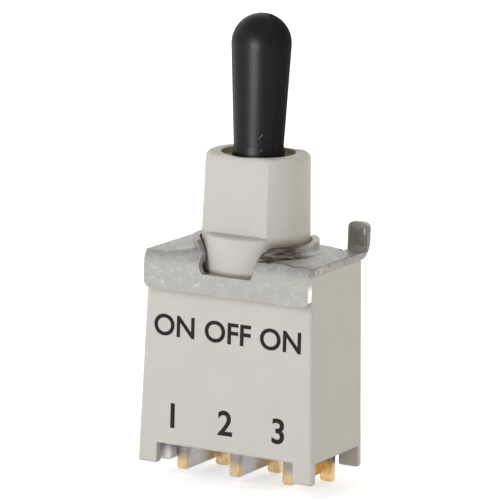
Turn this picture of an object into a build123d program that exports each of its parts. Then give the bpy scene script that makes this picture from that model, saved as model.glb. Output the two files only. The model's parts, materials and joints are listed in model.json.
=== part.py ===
"""Sealed subminiature toggle switch: moulded case and bushing, bat lever, formed bracket.

Millimetres. The origin is where the lever's axis meets the board, +Z runs up the lever,
X runs along the row of terminals and the lever tips in the XZ plane.
"""
import os
from math import cos, radians, sin, tan

from build123d import *

# Moulded housing
PITCH = 2.54
CASE_TOP = 8.94
CASE_DEPTH = 4.64
CASE_HALF_FOOT = 4.18
CASE_HALF_TOP = 3.88
CASE_CORNER = 0.12
CASE_SHOULDER = 0.25
RELIEF_HALF = 1.90
RELIEF_BACK = 1.20
RELIEF_FLOOR = 8.44
WALL = 0.35
ROOF = 1.04
FOOT_HEIGHT = 0.90
FOOT_WIDTH = 0.92
FOOT_CORNER = 0.06

# Bushing, moulded with the case
BASE_EDGE = 0.12
LEDGE_Z = 10.15
BARREL_RADIUS = 2.305
BARREL_FLAT = 1.80
BARREL_DRAFT = 1.5
BUSHING_TOP = 13.50
RIM_RADIUS = 0.24
MOUTH_RADIUS = 1.58

# Lever and its pivot
PIVOT_Z = 11.70
THROW = 12.0
BALL_RADIUS = 1.35
BORE_RADIUS = 1.42
THROAT_RADIUS = 1.15
NECK_RADIUS = 0.85
GRIP_FOOT_RADIUS = 1.05
GRIP_TIP_RADIUS = 1.275
LEVER_TOP = 19.40
STEM_RADIUS = 0.95
STEM_BOTTOM = 7.60
SPRING_BORE_RADIUS = 0.68
SPRING_BORE_TOP = 10.60
PIN_RADIUS = 0.30
PIN_HALF_LENGTH = 1.50
FIT = 0.02

# Seal round the ball
SEAL_RADIUS = 1.26
SEAL_WIRE = 0.16

# Plunger and spring in the lever's stem
PLUNGER_RADIUS = 0.65
PLUNGER_TOP = 8.90
TIP_RADIUS = 0.35
TIP_Z = 5.00
SPRING_RADIUS = 0.48
SPRING_WIRE = 0.08
SPRING_TURNS = 4

# Rocker on the centre terminal
FULCRUM_Z = 4.60
ROCKER_THROW = 5.0
ROCKER_DEPTH = 1.70
ROCKER_SHEET = 0.30
TIP_GAP = 0.03
DISH_HALF = 1.75
CONTACT_X = 2.25
CONTACT_DROP = 0.15

# Terminals, strip folded to a Z in plan
SHEET = 0.28
LEG_FRONT = -1.24
LEG_REAR = 1.63
FRONT_LEG_LEFT = -0.30
REAR_LEG_RIGHT = 0.72
FRONT_LEG_BOTTOM = -0.38
REAR_LEG_BOTTOM = -0.66
LEG_TOP = 2.50
LEG_CORNER = 0.14
BUTTON_RADIUS = 0.40
BUTTON_HEIGHT = 0.20

# Floor of the contact chamber
SEAL_BOTTOM = 1.20
BASE_BOTTOM = 2.00
BASE_TOP = 3.00

# Bracket, one piece of formed sheet
PLATE = 0.31
BRACKET_HALF = 3.93
FLANGE_DROP = 1.62
FLANGE_CORNER = 0.35
BEND_INSIDE = 0.35
CROWN = 0.15
CROWN_RADIUS = 3.00
CROWN_FOOT = 3.75
COLLAR_INSIDE = 2.40
COLLAR_OUTSIDE = 2.70
COLLAR_HEIGHT = 0.56
COLLAR_FILLET = 0.20
NOTCH_SIDE = ((1.17, 8.50), (1.29, 8.78), (1.29, 9.25), (1.48, 9.60), (1.82, 9.90))
NOTCH_CORNER = 0.16
TAB_WIDTH = 0.92
TAB_FACE = 2.64
TAB_TOP = 10.45
TAB_BEND = 0.45
TAB_CORNER = 0.25
TAB_GAP = 0.12

# Worked out from the dimensions above
HALF_DEPTH = CASE_DEPTH / 2
INNER_HALF_DEPTH = HALF_DEPTH - WALL
ROOF_Z = CASE_TOP - ROOF
PLATE_TOP = CASE_TOP + PLATE
TIP_ARM = PIVOT_Z - TIP_Z - TIP_RADIUS
DISH_Z = TIP_Z - TIP_GAP
HALF_SHEET = SHEET / 2


def case_half_width(z):
    """Half width of the drafted case at a height."""
    return CASE_HALF_FOOT + (CASE_HALF_TOP - CASE_HALF_FOOT) * z / CASE_TOP


def chamber_prism(bottom, top, mode=Mode.ADD):
    """The case's inner section between two heights, added to the part being built."""
    low = case_half_width(bottom) - WALL
    high = case_half_width(top) - WALL
    with BuildSketch(Plane.XZ) as section:
        with BuildLine():
            Polyline((-low, bottom), (low, bottom), (high, top), (-high, top), close=True)
        make_face()
    extrude(section.sketch, amount=INNER_HALF_DEPTH, both=True, mode=mode)


# --- Housing: drafted case, four feet, double-D bushing ---

with BuildPart() as base:
    with BuildSketch(Plane.XZ):
        with BuildLine():
            Polyline(
                (0, RELIEF_FLOOR),
                (BARREL_RADIUS, RELIEF_FLOOR),
                (BARREL_RADIUS, LEDGE_Z - BASE_EDGE),
                (BARREL_RADIUS - 0.3 * BASE_EDGE, LEDGE_Z - 0.3 * BASE_EDGE),
                (BARREL_RADIUS - BASE_EDGE, LEDGE_Z),
                (0, LEDGE_Z),
                close=True,
            )
        make_face()
    revolve(axis=Axis.Z)

with BuildPart() as barrel:
    barrel_foot = LEDGE_Z - BASE_EDGE
    barrel_height = BUSHING_TOP - barrel_foot
    drawn_in = barrel_height * tan(radians(BARREL_DRAFT))
    with Locations((0, 0, barrel_foot + barrel_height / 2)):
        Cone(BARREL_RADIUS, BARREL_RADIUS - drawn_in, barrel_height)
    with BuildSketch(Plane.XY.offset(barrel_foot)):
        Rectangle(3 * BARREL_RADIUS, 2 * BARREL_FLAT)
    extrude(amount=barrel_height, taper=BARREL_DRAFT, mode=Mode.INTERSECT)

with BuildPart() as housing:
    with BuildSketch(Plane.XZ):
        with BuildLine():
            Polyline(
                (-CASE_HALF_FOOT, 0),
                (CASE_HALF_FOOT, 0),
                (CASE_HALF_TOP, CASE_TOP),
                (-CASE_HALF_TOP, CASE_TOP),
                close=True,
            )
        make_face()
    extrude(amount=HALF_DEPTH, both=True)
    upright = housing.edges().filter_by(lambda edge: abs(edge.tangent_at(0.5).Z) > 0.9)
    fillet(upright, CASE_CORNER)
    with BuildSketch(Plane.YZ):
        with Locations((0, CASE_TOP / 2)):
            side_view = Rectangle(CASE_DEPTH, CASE_TOP)
        fillet(side_view.vertices().group_by(Axis.Y)[-1], CASE_SHOULDER)
    extrude(amount=CASE_HALF_FOOT, both=True, mode=Mode.INTERSECT)

    # Relief in front of and behind the base, so that it stands clear of the bracket's notches
    with BuildSketch(Plane.XY.offset(CASE_TOP)):
        Rectangle(2 * RELIEF_HALF, CASE_DEPTH)
        Rectangle(2 * RELIEF_HALF, 2 * RELIEF_BACK, mode=Mode.SUBTRACT)
    extrude(amount=RELIEF_FLOOR - CASE_TOP, mode=Mode.SUBTRACT)

    # Round base with a soft edge, then the flatted barrel with its rounded rim
    add(base.part)
    add(barrel.part)
    fillet(housing.faces().sort_by(Axis.Z)[-1].edges(), RIM_RADIUS)

    # Contact chamber, open at the foot
    chamber_prism(0, ROOF_Z, mode=Mode.SUBTRACT)

    # Lower edges of the walls cut back to leave a foot at each corner
    foot_inside = CASE_HALF_FOOT - FOOT_WIDTH
    with BuildSketch(Plane.XZ):
        with Locations((0, FOOT_HEIGHT / 2)):
            Rectangle(2 * foot_inside, FOOT_HEIGHT)
    extrude(amount=HALF_DEPTH, both=True, mode=Mode.SUBTRACT)
    with BuildSketch(Plane.YZ):
        with Locations((0, FOOT_HEIGHT / 2)):
            Rectangle(2 * INNER_HALF_DEPTH, FOOT_HEIGHT)
    extrude(amount=CASE_HALF_FOOT, both=True, mode=Mode.SUBTRACT)
    foot_edges = housing.faces().sort_by(Axis.Z)[:4].edges().filter_by(Axis.Y)
    chamfer(foot_edges, FOOT_CORNER)

    # Bore for the ball and seal, shoulder, flared mouth
    with BuildSketch(Plane.XZ):
        with BuildLine():
            Polyline(
                (0, SPRING_BORE_TOP),
                (BORE_RADIUS, SPRING_BORE_TOP),
                (BORE_RADIUS, PIVOT_Z + 1.02),
                (THROAT_RADIUS, PIVOT_Z + 1.02),
                (MOUTH_RADIUS, BUSHING_TOP - 0.25),
                (MOUTH_RADIUS, BUSHING_TOP),
                (0, BUSHING_TOP),
                close=True,
            )
        make_face()
    revolve(axis=Axis.Z, mode=Mode.SUBTRACT)

    # Slot that the stem swings in, wider towards the chamber
    swing_top = SPRING_BORE_TOP + 0.3
    swing_half_top = 1.30
    swing_half_bottom = 1.88
    with BuildSketch(Plane.XZ):
        with BuildLine():
            Polyline(
                (-swing_half_bottom, ROOF_Z),
                (swing_half_bottom, ROOF_Z),
                (swing_half_top, swing_top),
                (-swing_half_top, swing_top),
                close=True,
            )
        make_face()
    extrude(amount=STEM_RADIUS + 0.13, both=True, mode=Mode.SUBTRACT)

    # Blind slots that take the ends of the pivot pin from below
    with BuildSketch(Plane.XZ):
        with Locations((0, PIVOT_Z)):
            Circle(PIN_RADIUS + FIT)
        with Locations((0, (ROOF_Z + PIVOT_Z) / 2)):
            Rectangle(2 * (PIN_RADIUS + FIT), PIVOT_Z - ROOF_Z)
    extrude(amount=PIN_HALF_LENGTH + FIT, both=True, mode=Mode.SUBTRACT)

# --- Bat lever, ball and hollow stem ---

with BuildPart() as toggle_lever:
    tip_centre = LEVER_TOP - GRIP_TIP_RADIUS
    flare_z = BUSHING_TOP + 0.30
    neck_foot = PIVOT_Z + (BALL_RADIUS**2 - NECK_RADIUS**2) ** 0.5
    stem_top = PIVOT_Z - (BALL_RADIUS**2 - STEM_RADIUS**2) ** 0.5
    with BuildSketch(Plane.XZ):
        with BuildLine():
            Polyline((0, SPRING_BORE_TOP), (SPRING_BORE_RADIUS, SPRING_BORE_TOP))
            Line((SPRING_BORE_RADIUS, SPRING_BORE_TOP), (SPRING_BORE_RADIUS, STEM_BOTTOM))
            Line((SPRING_BORE_RADIUS, STEM_BOTTOM), (STEM_RADIUS, STEM_BOTTOM))
            Line((STEM_RADIUS, STEM_BOTTOM), (STEM_RADIUS, stem_top))
            ThreePointArc((STEM_RADIUS, stem_top), (BALL_RADIUS, PIVOT_Z), (NECK_RADIUS, neck_foot))
            Line((NECK_RADIUS, neck_foot), (NECK_RADIUS, neck_foot + 0.12))
            Line((NECK_RADIUS, neck_foot + 0.12), (GRIP_FOOT_RADIUS + 0.07, BUSHING_TOP - 0.15))
            Line((GRIP_FOOT_RADIUS + 0.07, BUSHING_TOP - 0.15), (GRIP_FOOT_RADIUS + 0.06, BUSHING_TOP))
            Line((GRIP_FOOT_RADIUS + 0.06, BUSHING_TOP), (GRIP_FOOT_RADIUS + 0.01, flare_z))
            Line((GRIP_FOOT_RADIUS + 0.01, flare_z), (GRIP_TIP_RADIUS, tip_centre))
            ThreePointArc(
                (GRIP_TIP_RADIUS, tip_centre),
                (GRIP_TIP_RADIUS * sin(radians(45)), tip_centre + GRIP_TIP_RADIUS * cos(radians(45))),
                (0, LEVER_TOP),
            )
            Line((0, LEVER_TOP), (0, SPRING_BORE_TOP))
        make_face()
    revolve(axis=Axis.Z)
    with BuildSketch(Plane.XZ):
        with Locations((0, PIVOT_Z)):
            Circle(PIN_RADIUS)
    extrude(amount=PIN_HALF_LENGTH, both=True, mode=Mode.SUBTRACT)

with BuildPart() as pivot_pin:
    with BuildSketch(Plane.XZ):
        with Locations((0, PIVOT_Z)):
            Circle(PIN_RADIUS)
    extrude(amount=PIN_HALF_LENGTH, both=True)
    chamfer(pivot_pin.edges().filter_by(GeomType.CIRCLE), 0.05)

with BuildPart() as shaft_seal:
    seal_rise = ((BALL_RADIUS + SEAL_WIRE + 0.01) ** 2 - SEAL_RADIUS**2) ** 0.5
    with BuildSketch(Plane.XZ):
        with Locations((SEAL_RADIUS, PIVOT_Z + seal_rise)):
            RegularPolygon(SEAL_WIRE, 8)
    revolve(axis=Axis.Z)

# --- Plunger and its spring, carried in the stem ---

with BuildPart() as plunger:
    shoulder_z = TIP_Z + 1.0
    with BuildSketch(Plane.XZ):
        with BuildLine():
            Line((0, PLUNGER_TOP), (0, TIP_Z))
            ThreePointArc(
                (0, TIP_Z),
                (TIP_RADIUS * sin(radians(45)), TIP_Z + TIP_RADIUS * (1 - cos(radians(45)))),
                (TIP_RADIUS, TIP_Z + TIP_RADIUS),
            )
            Line((TIP_RADIUS, TIP_Z + TIP_RADIUS), (PLUNGER_RADIUS, shoulder_z))
            Line((PLUNGER_RADIUS, shoulder_z), (PLUNGER_RADIUS, PLUNGER_TOP))
            Line((PLUNGER_RADIUS, PLUNGER_TOP), (0, PLUNGER_TOP))
        make_face()
    revolve(axis=Axis.Z)

with BuildPart() as plunger_spring:
    free_length = SPRING_BORE_TOP - PLUNGER_TOP - 2 * SPRING_WIRE
    with BuildLine():
        coil = Helix(
            pitch=free_length / SPRING_TURNS,
            height=free_length,
            radius=SPRING_RADIUS,
            center=(0, 0, PLUNGER_TOP + SPRING_WIRE),
        )
    with BuildSketch(Plane(origin=coil @ 0, z_dir=coil % 0)):
        RegularPolygon(SPRING_WIRE, 5)
    sweep(is_frenet=True)

# --- Rocker: a dished strip that tips on the centre terminal ---

with BuildPart() as rocker_contact:
    # The dish follows the path of the plunger's tip as seen from the rocker
    tip_x = TIP_ARM * sin(radians(THROW))
    tip_rise = PIVOT_Z - TIP_ARM * cos(radians(THROW)) - FULCRUM_Z
    end_x = tip_x * cos(radians(ROCKER_THROW)) - tip_rise * sin(radians(ROCKER_THROW))
    end_z = tip_x * sin(radians(ROCKER_THROW)) + tip_rise * cos(radians(ROCKER_THROW))
    climb = end_z - (PIVOT_Z - TIP_ARM - FULCRUM_Z)
    dish_radius = (end_x**2 + climb**2) / (2 * climb) + TIP_RADIUS + TIP_GAP
    dish_edge = DISH_Z + dish_radius - (dish_radius**2 - DISH_HALF**2) ** 0.5
    arm_under = FULCRUM_Z
    arm_over = FULCRUM_Z + ROCKER_SHEET
    boss_half = 0.40
    under_radius = dish_radius + ROCKER_SHEET
    under_z = DISH_Z - ROCKER_SHEET + under_radius
    boss_corner = under_z - (under_radius**2 - boss_half**2) ** 0.5
    under_edge = under_z - (under_radius**2 - DISH_HALF**2) ** 0.5
    under_mid = (boss_half + DISH_HALF) / 2
    under_mid_z = under_z - (under_radius**2 - under_mid**2) ** 0.5
    with BuildSketch(Plane.XZ):
        with BuildLine():
            ThreePointArc((-DISH_HALF, dish_edge), (0, DISH_Z), (DISH_HALF, dish_edge))
            for side in (-1, 1):
                Polyline(
                    (side * DISH_HALF, dish_edge),
                    (side * (DISH_HALF + 0.22), dish_edge),
                    (side * (DISH_HALF + 0.40), arm_over),
                    (side * 2.95, arm_over),
                    (side * 2.95, arm_under),
                    (side * (DISH_HALF + 0.14), arm_under),
                    (side * DISH_HALF, under_edge),
                )
                ThreePointArc(
                    (side * DISH_HALF, under_edge),
                    (side * under_mid, under_mid_z),
                    (side * boss_half, boss_corner),
                )
                Line((side * boss_half, boss_corner), (side * boss_half, FULCRUM_Z))
            Line((-boss_half, FULCRUM_Z), (boss_half, FULCRUM_Z))
        make_face()
        with Locations((0, FULCRUM_Z)):
            Circle(HALF_SHEET + 0.03, mode=Mode.SUBTRACT)
    extrude(amount=ROCKER_DEPTH / 2, both=True)
    for side in (-1, 1):
        with BuildSketch(Plane.XY.offset(arm_under)):
            with Locations((side * CONTACT_X, 0)):
                Circle(BUTTON_RADIUS - 0.05)
        extrude(amount=-CONTACT_DROP, taper=20)

# --- Terminals ---

swing = radians(ROCKER_THROW)
closed_z = FULCRUM_Z - (CONTACT_X + BUTTON_RADIUS - 0.1) * sin(swing) - CONTACT_DROP * cos(swing)
BUTTON_TOP = closed_z - 0.01
HEAD_TOP = BUTTON_TOP - BUTTON_HEIGHT


def add_terminal_legs(x):
    """Front leg, web and longer rear leg of the terminal whose web stands at x."""
    web_left = x - HALF_SHEET
    web_right = x + HALF_SHEET
    rear_inner = LEG_REAR - SHEET
    with BuildSketch(Plane.XZ.offset(-LEG_FRONT)) as front_leg:
        with BuildLine():
            Polyline(
                (web_right, FRONT_LEG_BOTTOM),
                (x + FRONT_LEG_LEFT, FRONT_LEG_BOTTOM),
                (x + FRONT_LEG_LEFT, LEG_TOP),
                (web_right, LEG_TOP),
                close=True,
            )
        face = make_face()
        corner = face.vertices().group_by(Axis.Y)[0].sort_by(Axis.X)[0]
        fillet(corner, LEG_CORNER)
    extrude(front_leg.sketch, amount=-SHEET)
    with BuildSketch(Plane.XZ.offset(-rear_inner)) as rear_leg:
        with BuildLine():
            Polyline(
                (x + REAR_LEG_RIGHT, REAR_LEG_BOTTOM),
                (web_right + FIT, REAR_LEG_BOTTOM),
                (web_right + FIT, FRONT_LEG_BOTTOM),
                (web_left, FRONT_LEG_BOTTOM),
                (web_left, LEG_TOP),
                (x + REAR_LEG_RIGHT, LEG_TOP),
                close=True,
            )
        face = make_face()
        corner = face.vertices().group_by(Axis.Y)[0].sort_by(Axis.X)[0]
        fillet(corner, LEG_CORNER)
    extrude(rear_leg.sketch, amount=-SHEET)
    with BuildSketch(Plane.YZ.offset(web_left)) as web:
        with BuildLine():
            Polyline(
                (LEG_FRONT, FRONT_LEG_BOTTOM),
                (LEG_REAR, FRONT_LEG_BOTTOM),
                (LEG_REAR, LEG_TOP),
                (LEG_FRONT, LEG_TOP),
                close=True,
            )
        make_face()
    extrude(web.sketch, amount=SHEET)


with BuildPart() as common_terminal:
    add_terminal_legs(0)
    with BuildSketch(Plane.XZ):
        with Locations((0, (LEG_TOP + FULCRUM_Z) / 2)):
            Rectangle(SHEET, FULCRUM_Z - LEG_TOP)
        with Locations((0, FULCRUM_Z)):
            Circle(HALF_SHEET)
    extrude(amount=ROCKER_DEPTH / 2, both=True)


def side_terminal(side, name):
    """Outer terminal: its web bends over, towards the middle, under the contact button."""
    with BuildPart() as terminal:
        add_terminal_legs(side * PITCH)
        web_outside = side * (PITCH + HALF_SHEET)
        web_inside = side * (PITCH - HALF_SHEET)
        head_end = side * (CONTACT_X - BUTTON_RADIUS - 0.1)
        bend = SHEET + 0.10
        with BuildSketch(Plane.XZ):
            with BuildLine():
                Polyline(
                    (web_outside, LEG_TOP - 0.1),
                    (web_outside, HEAD_TOP),
                    (head_end, HEAD_TOP),
                    (head_end, HEAD_TOP - SHEET),
                    (web_inside, HEAD_TOP - SHEET),
                    (web_inside, LEG_TOP - 0.1),
                    close=True,
                )
            face = make_face()
            top_corners = face.vertices().group_by(Axis.Y)[-1].sort_by(Axis.X)
            fillet(top_corners[-1] if side > 0 else top_corners[0], bend)
        extrude(amount=BUTTON_RADIUS + 0.20, both=True)
    terminal.part.label = name
    return terminal.part


def contact_button(side, name):
    """Riveted button on the head of an outer terminal."""
    with BuildPart() as button:
        with BuildSketch(Plane.XY.offset(HEAD_TOP)):
            with Locations((side * CONTACT_X, 0)):
                Circle(BUTTON_RADIUS)
        extrude(amount=BUTTON_HEIGHT)
        chamfer(button.edges().group_by(Axis.Z)[-1], 0.06)
    button.part.label = name
    return button.part


left_terminal = side_terminal(-1, "left_terminal")
right_terminal = side_terminal(1, "right_terminal")
left_contact_button = contact_button(-1, "left_contact_button")
right_contact_button = contact_button(1, "right_contact_button")

# --- Terminal base and the resin that seals it ---


def chamber_floor(bottom, top, name):
    """A layer across the chamber, moulded round the three terminals."""
    with BuildPart() as layer:
        chamber_prism(bottom, top)
        add([common_terminal.part, left_terminal, right_terminal], mode=Mode.SUBTRACT)
    layer.part.label = name
    return layer.part


terminal_base = chamber_floor(BASE_BOTTOM, BASE_TOP, "terminal_base")
epoxy_seal = chamber_floor(SEAL_BOTTOM, BASE_BOTTOM, "epoxy_seal")

# --- Bracket: crowned plate, two flanges, parted collar, up-turned tab ---

skirt = HALF_DEPTH + PLATE
flange_z = PLATE_TOP - FLANGE_DROP
collar_top = PLATE_TOP + COLLAR_HEIGHT
bend_outside = BEND_INSIDE + PLATE


def pressing(inset, half_length):
    """The form of the pressed sheet, filled down to the flanges' edges, at a depth below its skin."""
    crown_top = PLATE_TOP + CROWN - inset
    with BuildPart() as form:
        with BuildSketch(Plane.YZ) as side_view:
            with Locations((0, (crown_top + flange_z) / 2)):
                outline = Rectangle(2 * (skirt - inset), crown_top - flange_z)
            fillet(outline.vertices().group_by(Axis.Y)[-1], bend_outside - inset)
        extrude(side_view.sketch, amount=half_length, both=True)
        with BuildSketch(Plane.XZ) as crown:
            with BuildLine():
                Polyline(
                    (0, flange_z),
                    (2 * BRACKET_HALF, flange_z),
                    (2 * BRACKET_HALF, PLATE_TOP - inset),
                    (CROWN_FOOT, PLATE_TOP - inset),
                    (CROWN_RADIUS, crown_top),
                    (0, crown_top),
                    close=True,
                )
            make_face()
        revolve(crown.sketch, axis=Axis.Z, mode=Mode.INTERSECT)
    return form.part


# Collar drawn up out of the plate, with a radius at its root
with BuildPart() as collar:
    crown_top = PLATE_TOP + CROWN
    with BuildSketch(Plane.XZ):
        with BuildLine():
            Polyline(
                (COLLAR_INSIDE, CASE_TOP),
                (COLLAR_OUTSIDE + COLLAR_FILLET, CASE_TOP),
                (COLLAR_OUTSIDE + COLLAR_FILLET, crown_top),
            )
            RadiusArc(
                (COLLAR_OUTSIDE + COLLAR_FILLET, crown_top),
                (COLLAR_OUTSIDE, crown_top + COLLAR_FILLET),
                COLLAR_FILLET,
            )
            Polyline(
                (COLLAR_OUTSIDE, crown_top + COLLAR_FILLET),
                (COLLAR_OUTSIDE, collar_top),
                (COLLAR_INSIDE, collar_top),
                (COLLAR_INSIDE, CASE_TOP),
            )
        make_face()
    revolve(axis=Axis.Z)
    with BuildSketch():
        Rectangle(4 * COLLAR_OUTSIDE, 2 * (skirt - bend_outside))
    extrude(amount=collar_top, mode=Mode.INTERSECT)
    with BuildSketch(Plane.XY.offset(CASE_TOP)):
        Circle(COLLAR_OUTSIDE)
        Circle(COLLAR_INSIDE, mode=Mode.SUBTRACT)
    extrude(amount=collar_top - CASE_TOP)

with BuildPart() as mounting_bracket:
    add(pressing(0, BRACKET_HALF))
    add(pressing(PLATE, 2 * BRACKET_HALF), mode=Mode.SUBTRACT)
    flange_tips = mounting_bracket.edges().filter_by(Axis.Y).group_by(Axis.Z)[0]
    fillet(flange_tips, FLANGE_CORNER)

    # Up-turned tab at the right of the rear edge, in place of the flange there
    tab_left = BRACKET_HALF - TAB_WIDTH
    with BuildSketch(Plane.XY.offset(flange_z)):
        with Locations((tab_left - TAB_GAP, skirt - bend_outside)):
            Rectangle(TAB_WIDTH + TAB_GAP, 2 * bend_outside, align=Align.MIN)
    extrude(amount=FLANGE_DROP + CROWN, mode=Mode.SUBTRACT)
    with BuildSketch(Plane.YZ.offset(tab_left)):
        with BuildLine():
            Polyline(
                (HALF_DEPTH - bend_outside, CASE_TOP),
                (TAB_FACE + PLATE, CASE_TOP),
                (TAB_FACE + PLATE, TAB_TOP),
                (TAB_FACE, TAB_TOP),
                (TAB_FACE, PLATE_TOP),
                (HALF_DEPTH - bend_outside, PLATE_TOP),
                close=True,
            )
        profile = make_face()
        outside = profile.vertices().group_by(Axis.Y)[0].sort_by(Axis.X)[-1]
        inside = profile.vertices().group_by(Axis.Y)[1].sort_by(Axis.X)[-1]
        fillet(outside, TAB_BEND + PLATE)
        fillet(inside, TAB_BEND)
    extrude(amount=TAB_WIDTH)
    fillet(mounting_bracket.faces().sort_by(Axis.Z)[-1].edges().filter_by(Axis.Y), TAB_CORNER)

    # Collar, open down through the plate
    add(collar.part)
    with BuildSketch(Plane.XY.offset(CASE_TOP)):
        Circle(COLLAR_INSIDE)
    extrude(amount=PLATE + CROWN, mode=Mode.SUBTRACT)

    # Notch through both flanges that parts the collar in two arcs
    with BuildSketch(Plane.XZ):
        with BuildLine():
            Polyline([(-x, z) for x, z in reversed(NOTCH_SIDE)] + list(NOTCH_SIDE), close=True)
        notch = make_face()
        fillet(notch.vertices().group_by(Axis.Y)[0], NOTCH_CORNER)
    extrude(amount=2 * HALF_DEPTH, both=True, mode=Mode.SUBTRACT)

for name, part in (
    ("housing", housing.part),
    ("mounting_bracket", mounting_bracket.part),
    ("toggle_lever", toggle_lever.part),
    ("pivot_pin", pivot_pin.part),
    ("shaft_seal", shaft_seal.part),
    ("plunger", plunger.part),
    ("plunger_spring", plunger_spring.part),
    ("rocker_contact", rocker_contact.part),
    ("common_terminal", common_terminal.part),
):
    part.label = name

os.makedirs("parts", exist_ok=True)
for part in (
    housing.part,
    mounting_bracket.part,
    toggle_lever.part,
    pivot_pin.part,
    shaft_seal.part,
    plunger.part,
    plunger_spring.part,
    rocker_contact.part,
    common_terminal.part,
    left_terminal,
    right_terminal,
    left_contact_button,
    right_contact_button,
    terminal_base,
    epoxy_seal,
):
    export_step(part, f"parts/{part.label}.step")
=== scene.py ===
"""Sealed subminiature toggle switch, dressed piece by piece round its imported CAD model."""
import json
from math import cos, pi, radians, sin

import bmesh
import bpy
from mathutils import Matrix, Vector


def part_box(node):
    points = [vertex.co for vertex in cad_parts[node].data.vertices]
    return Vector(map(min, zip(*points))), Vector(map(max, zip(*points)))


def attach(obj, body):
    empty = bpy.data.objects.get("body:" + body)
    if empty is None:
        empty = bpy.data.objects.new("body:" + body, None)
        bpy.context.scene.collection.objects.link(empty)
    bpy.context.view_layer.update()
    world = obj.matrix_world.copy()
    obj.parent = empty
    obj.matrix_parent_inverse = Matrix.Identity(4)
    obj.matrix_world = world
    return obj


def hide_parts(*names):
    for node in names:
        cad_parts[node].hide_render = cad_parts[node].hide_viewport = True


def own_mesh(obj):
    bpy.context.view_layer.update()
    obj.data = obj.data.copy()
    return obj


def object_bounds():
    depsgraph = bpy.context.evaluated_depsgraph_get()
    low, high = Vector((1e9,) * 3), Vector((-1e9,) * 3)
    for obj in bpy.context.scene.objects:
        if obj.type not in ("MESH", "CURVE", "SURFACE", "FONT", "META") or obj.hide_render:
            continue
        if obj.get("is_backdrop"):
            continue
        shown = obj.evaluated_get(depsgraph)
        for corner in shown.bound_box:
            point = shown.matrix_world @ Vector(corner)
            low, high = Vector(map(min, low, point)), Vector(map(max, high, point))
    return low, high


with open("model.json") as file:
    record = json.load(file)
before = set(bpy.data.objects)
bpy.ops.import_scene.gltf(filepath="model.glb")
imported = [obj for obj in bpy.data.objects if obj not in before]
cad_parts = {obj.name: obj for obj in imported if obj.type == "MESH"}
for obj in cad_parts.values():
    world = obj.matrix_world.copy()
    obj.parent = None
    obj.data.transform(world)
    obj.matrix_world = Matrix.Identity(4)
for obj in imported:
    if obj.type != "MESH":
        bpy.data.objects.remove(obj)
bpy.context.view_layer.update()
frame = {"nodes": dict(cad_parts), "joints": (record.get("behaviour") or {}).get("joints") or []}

# --- Case and bushing ---
# One moulding in pale warm-grey nylon: a drafted case on four feet, with the flatted bushing
# standing on it. Its skin is dull, faintly mottled and finely textured. Painted warm bounce light
# tints the inside of the mouth, and painted brown shade lies where the bracket closes round it
# and along the ledge of the flats.

MILLIMETRE = 0.001

# Where a Mix node takes its two colours, and where it gives their blend.
MIX_FIRST = 6
MIX_SECOND = 7
MIX_COLOUR = 2


class Value:
    """A number carried by a shader socket; arithmetic on it adds Math nodes."""

    def __init__(self, finish, socket):
        self.finish = finish
        self.socket = socket

    def math(self, operation, *others):
        values = dict(enumerate((self, *others)))
        return self.finish.node("ShaderNodeMath", {"operation": operation}, values)

    def __add__(self, other):
        return self.math("ADD", other)

    def __radd__(self, other):
        return self.math("ADD", other)

    def __sub__(self, other):
        return self.math("SUBTRACT", other)

    def __rsub__(self, other):
        return (self * -1.0) + other

    def __mul__(self, other):
        return self.math("MULTIPLY", other)

    def __rmul__(self, other):
        return self.math("MULTIPLY", other)

    def __pow__(self, other):
        return self.math("POWER", other)

    def __abs__(self):
        return self.math("ABSOLUTE")

    def __lt__(self, other):
        return self.math("LESS_THAN", other)

    def __gt__(self, other):
        return self.math("GREATER_THAN", other)


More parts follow.
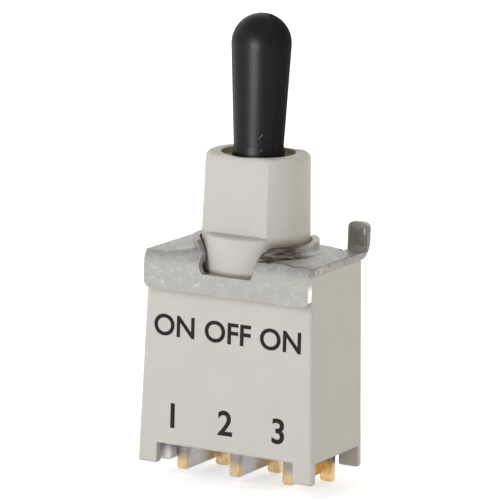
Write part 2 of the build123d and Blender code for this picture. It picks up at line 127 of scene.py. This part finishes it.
class Finish:
    """A material, or a world, built node by node. Every length that it takes is in millimetres.

    A point lies so far across, so deep and so high, and at its reach from the lever's axis.
    """

    def __init__(self, name, kept_in="materials"):
        self.result = getattr(bpy.data, kept_in).new(name)
        self.result.use_nodes = True
        self.tree = self.result.node_tree
        self.tree.nodes.clear()
        metres = self.node("ShaderNodeTexCoord", output="Object")
        scale = {0: metres, "Scale": 1.0 / MILLIMETRE}
        self.point = self.node("ShaderNodeVectorMath", {"operation": "SCALE"}, scale)
        separated = self.node("ShaderNodeSeparateXYZ", None, {0: self.point}).socket.node
        self.across, self.depth, self.height = (Value(self, output) for output in separated.outputs)
        self.reach = (self.across * self.across + self.depth * self.depth) ** 0.5

    def node(self, kind, settings=None, sockets=None, output=0):
        """Adds a node with its settings, its inputs set or linked, and returns one output."""
        made = self.tree.nodes.new(kind)
        for key, setting in (settings or {}).items():
            if key == "stops":
                for stop, (place, level) in zip(made.color_ramp.elements, setting):
                    stop.position = place
                    stop.color = (level, level, level, 1.0)
            else:
                setattr(made, key, setting)
        for key, value in (sockets or {}).items():
            if isinstance(value, Value):
                self.tree.links.new(value.socket, made.inputs[key])
            else:
                made.inputs[key].default_value = value
        return Value(self, made.outputs[output])

    def noise(self, per_mm, detail=3.0, roughness=0.55, crowding=None):
        """Noise of so many waves to the millimetre; crowding multiplies that for each axis."""
        place = self.point
        if crowding:
            place = self.node("ShaderNodeVectorMath", {"operation": "MULTIPLY"}, {0: place, 1: crowding})
        sockets = {"Vector": place, "Scale": per_mm, "Detail": detail, "Roughness": roughness}
        return self.node("ShaderNodeTexNoise", None, sockets)

    def ramp(self, value, first, last):
        """Grey that goes from one level to another; each is given as a value and its level."""
        return self.node("ShaderNodeValToRGB", {"stops": (first, last)}, {0: value})

    def patches(self, noise, low, high):
        """Noise cut into patches: 0 below the low value, and 1 above the high one."""
        return self.ramp(noise, (low, 0.0), (high, 1.0))

    def between(self, value, low, high):
        """1 below the low value, falling smoothly to 0 at the high one."""
        settings = {"interpolation_type": "SMOOTHSTEP"}
        sockets = {"Value": value, "From Min": low, "From Max": high, "To Min": 1.0, "To Max": 0.0}
        return self.node("ShaderNodeMapRange", settings, sockets)

    def blend(self, factor, first, second):
        """The first colour where the factor is 0, and the second where it is 1."""
        sockets = {0: factor}
        for key, colour in ((MIX_FIRST, first), (MIX_SECOND, second)):
            sockets[key] = colour if isinstance(colour, Value) else (*colour, 1.0)
        return self.node("ShaderNodeMix", {"data_type": "RGBA"}, sockets, output=MIX_COLOUR)

    def bump(self, height, depth_mm, strength=1.0, eased_mm=0.03):
        """Relief of the given depth, on edges eased to the given radius."""
        eased = self.node("ShaderNodeBevel", {"samples": 6}, {"Radius": eased_mm * MILLIMETRE})
        distance = depth_mm * MILLIMETRE
        sockets = {"Height": height, "Distance": distance, "Strength": strength, "Normal": eased}
        return self.node("ShaderNodeBump", None, sockets)

    def surface(self, **sockets):
        """A finished surface; an underscore in a socket's name stands for its space."""
        named = {key.replace("_", " "): value for key, value in sockets.items()}
        return self.finished(self.node("ShaderNodeBsdfPrincipled", None, named))

    def finished(self, shader, kind="ShaderNodeOutputMaterial"):
        """Sends the shader to the tree's output, and returns the material or the world."""
        output = self.tree.nodes.new(kind)
        self.tree.links.new(shader.socket, output.inputs["Surface"])
        return self.result


def dress(node_name, material):
    """Gives a carried-over node its material."""
    for slot in frame["nodes"][node_name].material_slots:
        slot.material = material


# All in millimetres. A pair says where a shade is full and where it has gone.
BASE_REACH = 2.34
RELIEF_FLOOR = 8.40
RELIEF_SHADE = (8.50, 8.72)
PLATE_HEIGHT = 9.00
COLLAR_SHADE = (9.78, 10.30)
NOTCH_SHADE = (1.15, 1.75)
LEDGE_HEIGHT = 10.13
LEDGE_SHADE = (0.03, 0.11)
FLAT_REACH = 1.77
BORE_HEIGHT = 12.00
MOUTH_SHADE = (1.56, 1.67)


def painted_recess_shade(finish):
    """Painted brown shade in the relief round the base, inside the collar and along the ledge of the
    flats.
    """
    height = finish.height
    on_base = finish.reach < BASE_REACH
    in_relief = finish.between(height, *RELIEF_SHADE) * (height > RELIEF_FLOOR) * on_base
    off_notch = 1.0 - finish.between(abs(finish.across), *NOTCH_SHADE)
    in_collar = finish.between(height, *COLLAR_SHADE) * (height > PLATE_HEIGHT) * on_base * off_notch
    off_ledge = abs(height - LEDGE_HEIGHT)
    on_ledge = finish.between(off_ledge, *LEDGE_SHADE) * (abs(finish.depth) > FLAT_REACH)
    return in_relief * 0.75 + in_collar * 0.75 + on_ledge * 0.35


def moulded_nylon():
    finish = Finish("moulded_nylon")
    cloud = finish.noise(0.55, 2.0)
    mottle = finish.noise(5.0, 4.0, 0.65)
    grain = finish.noise(13.0, 3.0, 0.7)
    pale = finish.blend(cloud, (0.615, 0.600, 0.560), (0.670, 0.660, 0.625))
    skin = finish.blend(mottle * 0.3 + grain * 0.25, pale, (0.555, 0.535, 0.485))
    # Painted light: a warm tan inside the mouth stands for warm bounce light on its shaded wall.
    in_mouth = finish.between(finish.reach, *MOUTH_SHADE) * (finish.height > BORE_HEIGHT)
    painted_mouth_light = finish.blend(in_mouth * 0.9, skin, (0.76, 0.64, 0.40))
    return finish.surface(
        # Painted brown shade goes over the skin in the relief, round the collar and on the ledge.
        Base_Color=finish.blend(painted_recess_shade(finish), painted_mouth_light, (0.19, 0.155, 0.105)),
        Roughness=0.46 + mottle * 0.16,
        Normal=finish.bump(grain + mottle, 0.010, 0.5, 0.14),
        Subsurface_Weight=0.12,
        Subsurface_Scale=0.4 * MILLIMETRE,
    )


dress("housing", moulded_nylon())

# --- Terminals, contacts and rocker ---
# Strip of copper alloy, blanked, folded and plated with gold over nickel. The gold is blotchy
# and greyer on the front legs. Painted grey shade darkens it near the resin, under the case, and
# the webs of the left and centre terminals are painted bluish grey for their shade.

FRONT_LEG_DEPTH = -1.0
BRIGHT_END = (-0.15, 0.40)
WEB_SHADE = (1.02, 1.20)
WEB_HEIGHT = 0.9
GILT_WEB_ACROSS = 1.5


def plated_strip():
    finish = Finish("gold_plated_strip")
    low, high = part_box("left_terminal")
    middle = (low[1] + high[1]) / 2 / MILLIMETRE
    blotch = finish.patches(finish.noise(3.2), 0.36, 0.64)
    gold = finish.blend(blotch, (0.61, 0.395, 0.150), (0.92, 0.700, 0.370))
    greyed = finish.blend((finish.depth < FRONT_LEG_DEPTH) * 0.5, gold, (0.50, 0.400, 0.255))
    near_resin = 1.0 - finish.between(finish.height, *BRIGHT_END)
    # Painted shade: the gold turns dark grey towards the resin, under the case.
    dulled = finish.blend(near_resin * 0.88, greyed, (0.27, 0.262, 0.268))
    # Painted shade: the low webs, except the right terminal's, are painted bluish grey for their shade
    # under the case.
    webs_in_shade = (finish.height < WEB_HEIGHT) * (finish.across < GILT_WEB_ACROSS)
    on_web = finish.between(abs(finish.depth - middle), *WEB_SHADE) * webs_in_shade
    return finish.surface(
        Base_Color=finish.blend(on_web * 0.9, dulled, (0.43, 0.452, 0.50)),
        Metallic=1.0,
        Roughness=0.26 + blotch * 0.14,
        Normal=finish.bump(finish.noise(18.0, 2.0), 0.004, 0.5),
    )


plating = plated_strip()
for name in (
    "common_terminal",
    "left_terminal",
    "right_terminal",
    "left_contact_button",
    "right_contact_button",
    "rocker_contact",
):
    dress(name, plating)

# --- Terminal base and resin ---
# The base is a dark glass-filled moulding inside the case. Below it cured epoxy resin closes
# the underside, pale grey and slightly glossy, with shallow flow waves. One run of it hangs
# beside the first leg.

RUN_PAINTED_LIGHT = (0.30, 0.85)
RUN_ROUNDING = 0.22 * MILLIMETRE
RUN_PAST_LEG = 0.90 * MILLIMETRE
RUN_CLEARANCE = Vector((0.05, 0.20, 0.02)) * MILLIMETRE
LEG_CLEARANCE = 0.04 * MILLIMETRE
SEAL_CLEARANCE = 0.01 * MILLIMETRE


def cast_resin():
    finish = Finish("cured_resin")
    waves = finish.noise(0.9, 2.0)
    grey = finish.blend(finish.noise(9.0), (0.42, 0.41, 0.43), (0.52, 0.51, 0.535))
    return finish.surface(
        # Painted light: the run is painted near white towards its foot.
        Base_Color=finish.blend(finish.between(finish.height, *RUN_PAINTED_LIGHT), grey, (0.90, 0.895, 0.90)),
        Roughness=0.24 + waves * 0.12,
        Normal=finish.bump(waves, 0.05, 0.6),
    )


def filled_moulding():
    finish = Finish("glass_filled_moulding")
    fibres = finish.noise(14.0, 4.0)
    return finish.surface(
        Base_Color=finish.blend(fibres, (0.030, 0.028, 0.026), (0.055, 0.050, 0.046)),
        Roughness=0.50 + fibres * 0.15,
        Normal=finish.bump(fibres, 0.006, 0.6),
    )


def linked(name, mesh, material):
    """Puts a finished mesh into the scene as an object at the origin."""
    mesh.materials.clear()
    mesh.materials.append(material)
    piece = bpy.data.objects.new(name, mesh)
    bpy.context.collection.objects.link(piece)
    return piece


def piece_of(name, shape, material):
    """Turns a finished bmesh into an object."""
    mesh = bpy.data.meshes.new(name)
    shape.to_mesh(mesh)
    shape.free()
    return linked(name, mesh, material)


def resin_run(resin):
    """The rounded run of resin, clear of the case, of the leg beside it and of the board."""
    seal_low = Vector(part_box("epoxy_seal")[0])
    leg_low = Vector(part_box("left_terminal")[0])
    low = Vector((seal_low.x, seal_low.y, 0.0)) + RUN_CLEARANCE
    right = leg_low.x - LEG_CLEARANCE
    high = Vector((right, leg_low.y + RUN_PAST_LEG, seal_low.z - SEAL_CLEARANCE))
    run = bmesh.new()
    bmesh.ops.create_cube(run, size=1.0)
    bmesh.ops.scale(run, vec=high - low, verts=run.verts)
    bmesh.ops.translate(run, vec=(low + high) / 2, verts=run.verts)
    middle = (low.z + high.z) / 2
    below_top = [edge for edge in run.edges if min(end.co.z for end in edge.verts) < middle]
    bmesh.ops.bevel(run, geom=below_top, offset=RUN_ROUNDING, segments=8, profile=0.5, affect="EDGES")
    piece = piece_of("resin_run", run, resin)
    piece.data.shade_smooth()
    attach(piece, "case")


resin = cast_resin()
dress("epoxy_seal", resin)
resin_run(resin)
dress("terminal_base", filled_moulding())

# --- Plunger, spring, pin and seal ring ---
# A turned brass plunger and a bright steel spring in the lever's stem, a ground steel pin
# through the ball, and a nitrile ring that the ball is pressed against.

SPRING_TURNS = 4
STEPS_PER_TURN = 24
WIRE_RADIUS = 0.08 * MILLIMETRE


def turned_metal(name, dark, light, roughness):
    finish = Finish(name)
    rings = finish.node(
        "ShaderNodeTexWave",
        {"wave_type": "BANDS", "bands_direction": "Z"},
        {"Vector": finish.point, "Scale": 6.0, "Distortion": 0.4, "Detail": 1.0},
    )
    tarnish = finish.noise(1.6)
    return finish.surface(
        Base_Color=finish.blend(tarnish, dark, light),
        Metallic=1.0,
        Roughness=roughness + tarnish * 0.10,
        Normal=finish.bump(rings, 0.003, 0.4),
    )


def nitrile_rubber():
    finish = Finish("nitrile_rubber")
    bloom = finish.noise(8.0)
    return finish.surface(
        Base_Color=finish.blend(bloom, (0.020, 0.020, 0.021), (0.042, 0.041, 0.042)),
        Roughness=0.55 + bloom * 0.15,
        Normal=finish.bump(bloom, 0.006, 0.5),
    )


def coil_spring(steel):
    """Round wire, wound between the plunger's head and the roof of the lever's stem."""
    low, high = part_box("plunger_spring")
    coil = bmesh.new()
    upright = Matrix.Rotation(pi / 2, 4, "X")
    bmesh.ops.create_circle(coil, segments=10, radius=WIRE_RADIUS, matrix=upright)
    start = Vector((high[0] - WIRE_RADIUS, 0.0, low[2] + WIRE_RADIUS))
    bmesh.ops.translate(coil, vec=start, verts=coil.verts)
    steps = SPRING_TURNS * STEPS_PER_TURN
    rise = (high[2] - low[2] - 2 * WIRE_RADIUS) / steps
    bmesh.ops.spin(
        coil,
        geom=[*coil.verts, *coil.edges],
        cent=(0, 0, 0),
        axis=(0, 0, 1),
        dvec=(0, 0, rise),
        angle=2 * pi * SPRING_TURNS,
        steps=steps,
    )
    bmesh.ops.holes_fill(coil, edges=[edge for edge in coil.edges if edge.is_boundary])
    bmesh.ops.recalc_face_normals(coil, faces=coil.faces)
    spring = piece_of("coil_spring", coil, steel)
    spring.data.shade_smooth()
    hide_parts("plunger_spring")
    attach(spring, "lever")
    slide = next(joint for joint in frame["joints"] if joint["name"] == "plunger_slide")
    shortened = 1 - max(slide["range_m"]) / (high[2] - low[2])
    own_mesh(spring)


bright_steel = turned_metal("bright_steel", (0.50, 0.50, 0.51), (0.62, 0.62, 0.63), 0.20)
dress("plunger", turned_metal("turned_brass", (0.68, 0.52, 0.25), (0.78, 0.62, 0.33), 0.22))
dress("pivot_pin", bright_steel)
dress("shaft_seal", nitrile_rubber())
coil_spring(bright_steel)

# --- Bat lever ---
# Black moulded plastic with the dull speckle of handled plastic. Its front is worn to a satin
# shine and its back is dull. Low on the front it has one short pale scratch and a few painted glints.

SCRATCH_ACROSS = 0.64
SCRATCH_HEIGHT = 14.31
SCRATCH_LEAN = 0.7
SCRATCH_WANDER = 0.15
SCRATCH_HALF_WIDTH = 0.014
SCRATCH_HALF_HEIGHT = 0.10
PAINTED_GLINT_HEIGHT = 13.85
PAINTED_GLINT_HALF_HEIGHT = 0.22
PAINTED_GLINT_THRESHOLD = 0.69
WORN_PART = 0.75
WORN_SHADE = (0.0, 0.35)


def black_plastic():
    finish = Finish("black_lever_plastic")
    speckle = finish.noise(18.0, 3.0, 0.65)
    skin = finish.blend(speckle, (0.0005, 0.0005, 0.0005), (0.0095, 0.0080, 0.0080))
    above = finish.height - SCRATCH_HEIGHT
    line = SCRATCH_LEAN * above + SCRATCH_ACROSS - finish.noise(6.0, 1.0) * SCRATCH_WANDER
    on_front = finish.depth < 0.0
    scratch = (abs(finish.across - line) < SCRATCH_HALF_WIDTH) * on_front
    scratch = scratch * (abs(above) < SCRATCH_HALF_HEIGHT)
    # Painted highlights: a few pale glints low on the front, where light catches the grain.
    near_painted_glints = abs(finish.height - PAINTED_GLINT_HEIGHT) < PAINTED_GLINT_HALF_HEIGHT
    painted_glints = (finish.noise(7.0, 2.0) > PAINTED_GLINT_THRESHOLD) * near_painted_glints * on_front
    worn_smooth = finish.between(finish.depth + finish.reach * WORN_PART, *WORN_SHADE)
    return finish.surface(
        Base_Color=finish.blend(scratch * 0.35 + painted_glints * 0.25, skin, (0.30, 0.30, 0.30)),
        Specular_IOR_Level=0.14,
        Roughness=0.75 + finish.noise(1.3) * 0.10 - worn_smooth * 0.45,
        Normal=finish.bump(speckle, 0.010, 0.8),
    )


dress("toggle_lever", black_plastic())

# --- Bracket ---
# One piece of thin steel sheet, blanked, drawn up into the collar and bent, then plated with
# tin. The tin is satin, with a fine crystalline sparkle on the flanges. It is rubbed on top, with
# painted shade there, at its cut ends and along its front bend, and a dark line on its arrises.
# It has painted highlights on the flange's end and the tab, dark brown blotches on the tab, and
# painted dark reflection on the collar's front right.

TOP_HEIGHT = 9.00
FLANGE_SHADE = (8.75, 9.10)
SPARKLING_ACROSS = -1.00
LESS_SHADED_ACROSS = 0.90


def sparkling_tin(finish, cloud, crystal):
    """Satin tin, dulled crystal by crystal, that sparkles in patches on the flanges."""
    sheen = finish.blend(cloud, (0.44, 0.436, 0.408), (0.53, 0.525, 0.500))
    dulled = finish.blend(crystal * 0.30, sheen, (0.38, 0.372, 0.345))
    patches = finish.patches(finish.noise(2.2), 0.42, 0.60)
    sparkle = (crystal > 0.84) * patches * finish.between(finish.height, *FLANGE_SHADE)
    strength = 0.26 + 0.22 * (finish.across < SPARKLING_ACROSS)
    return finish.blend(sparkle * strength, dulled, (0.92, 0.92, 0.90))


def rubs(finish):
    return finish.patches(finish.noise(4.5, 4.0, 0.75), 0.48, 0.64)


def rubbed_shaded_plate(finish, tin, grain):
    """Dark rubs and pale polished patches, mostly on the top plate, where the rubs also paint in shade.
    """
    on_top = finish.height > TOP_HEIGHT
    # Rubs with painted shade on the top plate, lighter right of the middle.
    rubs_and_top_shade = 0.08 + (0.27 - 0.13 * (finish.across > LESS_SHADED_ACROSS)) * on_top
    rubbed_and_shaded = finish.blend(rubs(finish) * rubs_and_top_shade + grain * 0.1, tin, (0.22, 0.205, 0.175))
    polished = finish.patches(finish.noise(1.9, 2.0), 0.50, 0.60) * on_top
    return finish.blend(polished * 0.25, rubbed_and_shaded, (0.70, 0.70, 0.68))


EDGE_ACROSS = 3.91
EDGE_HEIGHT = 8.90
ARRIS_ACROSS = 3.85
ARRIS_HEIGHT = 9.22
NICK_DEPTH = -1.80
NICK_HEIGHT = 9.05
NICK_LEAN = 0.40
NICK_TOP = 9.16
NICK_HALF_WIDTH = 0.035


def shaded_marked_edges(finish, tin):
    """The plate's sheared ends in painted shade with a rub mottle, a dark line on its arrises, and
    nicks.
    """
    on_edge = (abs(finish.across) > EDGE_ACROSS) * (finish.height > EDGE_HEIGHT)
    arris = (abs(finish.across) > ARRIS_ACROSS) * (finish.height > ARRIS_HEIGHT)
    line = NICK_DEPTH - (finish.height - NICK_HEIGHT) * NICK_LEAN
    nick = (abs(finish.depth - line) < NICK_HALF_WIDTH) * (finish.height < NICK_TOP) * on_edge
    # Painted shade with rub mottle on the ends, a dark line on the arrises, and the nicks.
    edge_shade_and_marks = on_edge * (rubs(finish) * 0.4 + 0.22) + arris * 0.35 + nick * 0.5
    return finish.blend(edge_shade_and_marks, tin, (0.16, 0.145, 0.12))


CREASE_DEPTH = -2.24
CREASE_SHADE = (0.02, 0.13)
SHALLOW_CREASE = (0.90, 2.00)
END_HIGHLIGHT_DEPTH = -2.20
END_HIGHLIGHT_SHADE = (8.30, 8.70)


def bend_shade_and_end_highlight(finish, tin):
    """Painted shade in the crease behind the front bend, deepest at the right, and a painted highlight
    on the flange's end.
    """
    deepest = 0.12 + 0.40 * (1.0 - finish.between(finish.across, *SHALLOW_CREASE))
    crease_shade = finish.between(abs(finish.depth - CREASE_DEPTH), *CREASE_SHADE) * deepest
    with_crease_shade = finish.blend(crease_shade * (finish.height > TOP_HEIGHT), tin, (0.12, 0.100, 0.075))
    # Painted highlight on the flange's right end.
    end_highlight = (finish.across > EDGE_ACROSS) * (finish.depth < END_HIGHLIGHT_DEPTH)
    end_highlight = end_highlight * finish.between(finish.height, *END_HIGHLIGHT_SHADE)
    return finish.blend(end_highlight, with_crease_shade, (0.97, 0.97, 0.96))


TAB_FOOT = 9.45
TAB_DEPTH = 2.20
TAB_ACROSS = 3.45
TAB_SIDE_SHADE = (0.26, 0.44)
TAB_TOP_SHADE = (10.10, 10.42)
GLEAM_ACROSS = 3.80
GLEAM_HALF_WIDTH = 0.03
GLEAM_HEIGHT = 10.08
GLEAM_HALF_HEIGHT = 0.13


def blotched_tab(finish, tin):
    """Dark brown blotches on the tab, strongest inside its rim, with a short painted highlight."""
    on_tab = (finish.height > TAB_FOOT) * (finish.depth > TAB_DEPTH)
    off_side = finish.between(abs(finish.across - TAB_ACROSS), *TAB_SIDE_SHADE)
    off_rim = off_side * finish.between(finish.height, *TAB_TOP_SHADE)
    tab_blotches = finish.ramp(finish.noise(1.7), (0.38, 1.0), (0.62, 0.45)) * on_tab
    blotched = finish.blend(tab_blotches * (0.16 + 0.50 * off_rim), tin, (0.150, 0.114, 0.062))
    # Painted highlight: a short bright line near the tab's right edge.
    gleam = (abs(finish.across - GLEAM_ACROSS) < GLEAM_HALF_WIDTH) * on_tab
    gleam = gleam * (abs(finish.height - GLEAM_HEIGHT) < GLEAM_HALF_HEIGHT)
    return finish.blend(gleam * 0.8, blotched, (0.95, 0.95, 0.93))


WALL_INSIDE = 2.38
WALL_OUTSIDE = 3.04
REFLECTION_FOOT = 9.27
REFLECTION_ACROSS = 0.90
REFLECTION_SHADE = (-1.30, -0.20)
STREAK_CROWDING = (1.0, 1.0, 9.0)


def collar_dark_reflection(finish, tin):
    """Level brown streaks of painted dark reflection on the collar's wall, at its front right."""
    on_wall = (finish.reach > WALL_INSIDE) * (finish.reach < WALL_OUTSIDE)
    on_wall = on_wall * (finish.height > REFLECTION_FOOT) * (finish.across > REFLECTION_ACROSS)
    streaks = finish.ramp(finish.noise(1.6, 3.0, 0.5, STREAK_CROWDING), (0.32, 0.30), (0.52, 1.0))
    # Painted reflection: dark brown streaks where the collar's wall mirrors dark surroundings.
    painted_reflection = streaks * on_wall * finish.between(finish.depth, *REFLECTION_SHADE)
    return finish.blend(painted_reflection * 0.88, tin, (0.072, 0.038, 0.015))


def tin_plate():
    finish = Finish("tin_plate")
    cells = {"Vector": finish.point, "Scale": 20.0}
    cell_colours = finish.node("ShaderNodeTexVoronoi", {"feature": "F1"}, cells, output="Color")
    crystal = finish.node("ShaderNodeSeparateColor", None, {0: cell_colours})
    cloud = finish.noise(1.1)
    grain = finish.noise(30.0, 2.0, 0.7)
    tin = sparkling_tin(finish, cloud, crystal)
    tin = rubbed_shaded_plate(finish, tin, grain)
    tin = shaded_marked_edges(finish, tin)
    tin = bend_shade_and_end_highlight(finish, tin)
    tin = blotched_tab(finish, tin)
    return finish.surface(
        Base_Color=collar_dark_reflection(finish, tin),
        Metallic=1.0,
        Roughness=0.38 + cloud * 0.10 + crystal * 0.08,
        Normal=finish.bump(grain + crystal, 0.006, 0.6),
    )


dress("mounting_bracket", tin_plate())

# --- Printed marks ---
# Pad-printed black ink on the front face: the lever's three positions above, and the numbers
# of the terminals below, each over its own leg.

PITCH = 2.54 * MILLIMETRE
POSITION_SIZE = 1.28 * MILLIMETRE
POSITION_HEIGHT = 6.0 * MILLIMETRE
NUMBER_SIZE = 1.50 * MILLIMETRE
NUMBER_HEIGHT = 2.1 * MILLIMETRE
INK_THICKNESS = 0.006 * MILLIMETRE
STROKE_GAIN = 0.018


def printing_ink():
    finish = Finish("printing_ink")
    coverage = finish.noise(20.0)
    return finish.surface(
        Base_Color=finish.blend(coverage, (0.010, 0.008, 0.008), (0.026, 0.021, 0.021)),
        Specular_IOR_Level=0.2,
        Roughness=0.50 + coverage * 0.15,
        Normal=finish.bump(coverage, 0.003, 0.4),
    )


def printed_mark(name, text, centre, size, ink):
    """A line of print, flat on the front face with its centre at the given place."""
    curve = bpy.data.curves.new(name, "FONT")
    curve.body = text
    curve.size = 1.0
    curve.extrude = 0.5 * INK_THICKNESS / size
    curve.offset = STROKE_GAIN
    curve.align_x = "CENTER"
    curve.align_y = "CENTER"
    curve.resolution_u = 6
    source = bpy.data.objects.new(name + "_curve", curve)
    bpy.context.collection.objects.link(source)
    mesh = bpy.data.meshes.new_from_object(source)
    bpy.data.objects.remove(source)
    upright = Matrix.Rotation(pi / 2, 4, "X")
    mesh.transform(Matrix.Translation(centre) @ upright @ Matrix.Scale(size, 4))
    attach(linked(name, mesh, ink), "case")


def printed_face(ink):
    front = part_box("housing")[0][1] - INK_THICKNESS / 2
    for column, number, position in zip((-1, 0, 1), "123", ("ON", "OFF", "ON")):
        below = Vector((column * PITCH, front, NUMBER_HEIGHT))
        above = Vector((column * PITCH, front, POSITION_HEIGHT))
        printed_mark(f"mark_number_{number}", number, below, NUMBER_SIZE, ink)
        printed_mark(f"mark_position_{number}", position, above, POSITION_SIZE, ink)


printed_face(printing_ink())

# --- Floor, flags, lamps and camera ---
# A white floor and world, bright to every ray that sees them. Two dark flags show in
# reflections only. Four soft lamps stand round the switch, a fifth lights the lever alone,
# and a long lens looks from the right, a little above the switch.

FLOOR_GAP = 0.02 * MILLIMETRE
FLOOR_GLOW = 0.55
AMBIENT = 0.42


def stage_sheet(name, size, place, turn, material):
    """A flat rectangle beside the switch, which is no part of it."""
    shape = bmesh.new()
    bmesh.ops.create_grid(shape, x_segments=1, y_segments=1, size=0.5)
    bmesh.ops.scale(shape, vec=Vector((*size, 1.0)), verts=shape.verts)
    bmesh.ops.transform(shape, matrix=turn, verts=shape.verts)
    bmesh.ops.translate(shape, vec=Vector(place), verts=shape.verts)
    piece_of(name, shape, material)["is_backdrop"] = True


def white_paper():
    paper = Finish("white_paper")
    seen = paper.node("ShaderNodeLightPath", output="Is Camera Ray")
    mirrored = paper.node("ShaderNodeLightPath", output="Is Glossy Ray")
    return paper.surface(
        Base_Color=(0.92, 0.92, 0.915, 1.0),
        Roughness=0.9,
        Emission_Color=(1.0, 1.0, 1.0, 1.0),
        Emission_Strength=(seen + mirrored) * FLOOR_GLOW,
    )


def white_world():
    """White to the rays that see it, and dimmer to those that carry its light."""
    sky = Finish("world", "worlds")
    seen = sky.node("ShaderNodeLightPath", output="Is Camera Ray")
    mirrored = sky.node("ShaderNodeLightPath", output="Is Glossy Ray")
    through = sky.node("ShaderNodeLightPath", output="Is Transmission Ray")
    unseen = sky.between(seen + mirrored + through, 0.0, 1.0)
    strength = 1.0 - (1.0 - AMBIENT) * unseen
    sockets = {"Color": (1.0, 1.0, 1.0, 1.0), "Strength": strength}
    background = sky.node("ShaderNodeBackground", None, sockets)
    bpy.context.scene.world = sky.finished(background, "ShaderNodeOutputWorld")


def flag_cloth(name, weave):
    """Dark cloth that only reflections see, as dense as its weave."""
    cloth = Finish(name)
    clear = cloth.node("ShaderNodeBsdfTransparent")
    dark = cloth.node("ShaderNodeBsdfDiffuse", None, {"Color": (0.04, 0.028, 0.02, 1.0)})
    reflected = cloth.node("ShaderNodeLightPath", output="Is Glossy Ray") * weave
    return cloth.finished(cloth.node("ShaderNodeMixShader", None, {0: reflected, 1: clear, 2: dark}))


def lamp(name, place, aim_height, size, watts, colour):
    """A rectangular lamp turned to a point on the lever's axis."""
    light = bpy.data.lights.new(name, "AREA")
    light.shape = "RECTANGLE"
    light.size, light.size_y = size
    light.energy = watts
    light.color = colour
    holder = bpy.data.objects.new(name, light)
    holder.location = place
    towards = Vector((0.0, 0.0, aim_height)) - Vector(place)
    holder.rotation_euler = towards.to_track_quat("-Z", "Y").to_euler()
    bpy.context.collection.objects.link(holder)
    return holder


def soft_lamp(name, **settings):
    """A lamp that lights without showing in reflections."""
    lamp(name, **settings).visible_glossy = False


def lever_glint():
    """The streak of light on the lever, from a lamp that lights no other piece."""
    glint = lamp(
        "lever_glint",
        place=(0.0, -0.100, 0.012),
        aim_height=0.015,
        size=(0.030, 0.022),
        watts=0.165,
        colour=(0.88, 0.94, 1.0),
    )
    lit = bpy.data.collections.new("lever_only")
    lit.objects.link(frame["nodes"]["toggle_lever"])
    glint.light_linking.receiver_collection = lit


def camera():
    azimuth = radians(28.04)
    elevation = radians(11.12)
    roll = radians(-1.62)
    distance = 0.200
    aim = Vector((-0.000238, -0.000073, 0.009240))
    back = Vector((sin(azimuth) * cos(elevation), -cos(azimuth) * cos(elevation), sin(elevation)))
    level = Vector((cos(azimuth), sin(azimuth), 0.0))
    right = cos(roll) * level - sin(roll) * back.cross(level)
    turn = Matrix((right, back.cross(right), back)).transposed()
    lens = bpy.data.cameras.new("camera")
    lens.sensor_width = 36.0
    lens.lens = 340.1
    lens.clip_start = 0.001
    holder = bpy.data.objects.new("camera", lens)
    holder.matrix_world = Matrix.Translation(aim + distance * back) @ turn.to_4x4()
    bpy.context.collection.objects.link(holder)
    bpy.context.scene.camera = holder


flat = Matrix.Identity(4)
side_on = Matrix.Rotation(radians(80.0), 4, "Z") @ Matrix.Rotation(pi / 2, 4, "X")
stage_sheet(
    "floor",
    size=(1.2, 1.2),
    place=(0.0, 0.0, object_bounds()[0][2] - FLOOR_GAP),
    turn=flat,
    material=white_paper(),
)
stage_sheet(
    "side_flag",
    size=(0.24, 0.13),
    place=(0.118, -0.021, 0.055),
    turn=side_on,
    material=flag_cloth("dense_cloth", 0.65),
)
stage_sheet(
    "top_flag",
    size=(0.16, 0.16),
    place=(-0.03, -0.02, 0.12),
    turn=flat,
    material=flag_cloth("open_cloth", 0.30),
)
white_world()
soft_lamp(
    "strip_lamp",
    place=(-0.050, -0.158, 0.080),
    aim_height=0.010,
    size=(0.070, 0.160),
    watts=0.158,
    colour=(1.0, 0.99, 0.97),
)
soft_lamp(
    "low_lamp",
    place=(-0.020, -0.165, 0.004),
    aim_height=0.002,
    size=(0.100, 0.014),
    watts=0.022,
    colour=(1.0, 0.98, 0.95),
)
soft_lamp(
    "back_lamp",
    place=(-0.060, 0.160, 0.070),
    aim_height=0.008,
    size=(0.100, 0.080),
    watts=0.060,
    colour=(1.0, 0.98, 0.95),
)
soft_lamp(
    "side_lamp",
    place=(0.130, 0.040, 0.030),
    aim_height=0.008,
    size=(0.100, 0.080),
    watts=0.046,
    colour=(1.0, 0.88, 0.68),
)
lever_glint()
camera()
bpy.context.scene.view_settings.view_transform = "Standard"
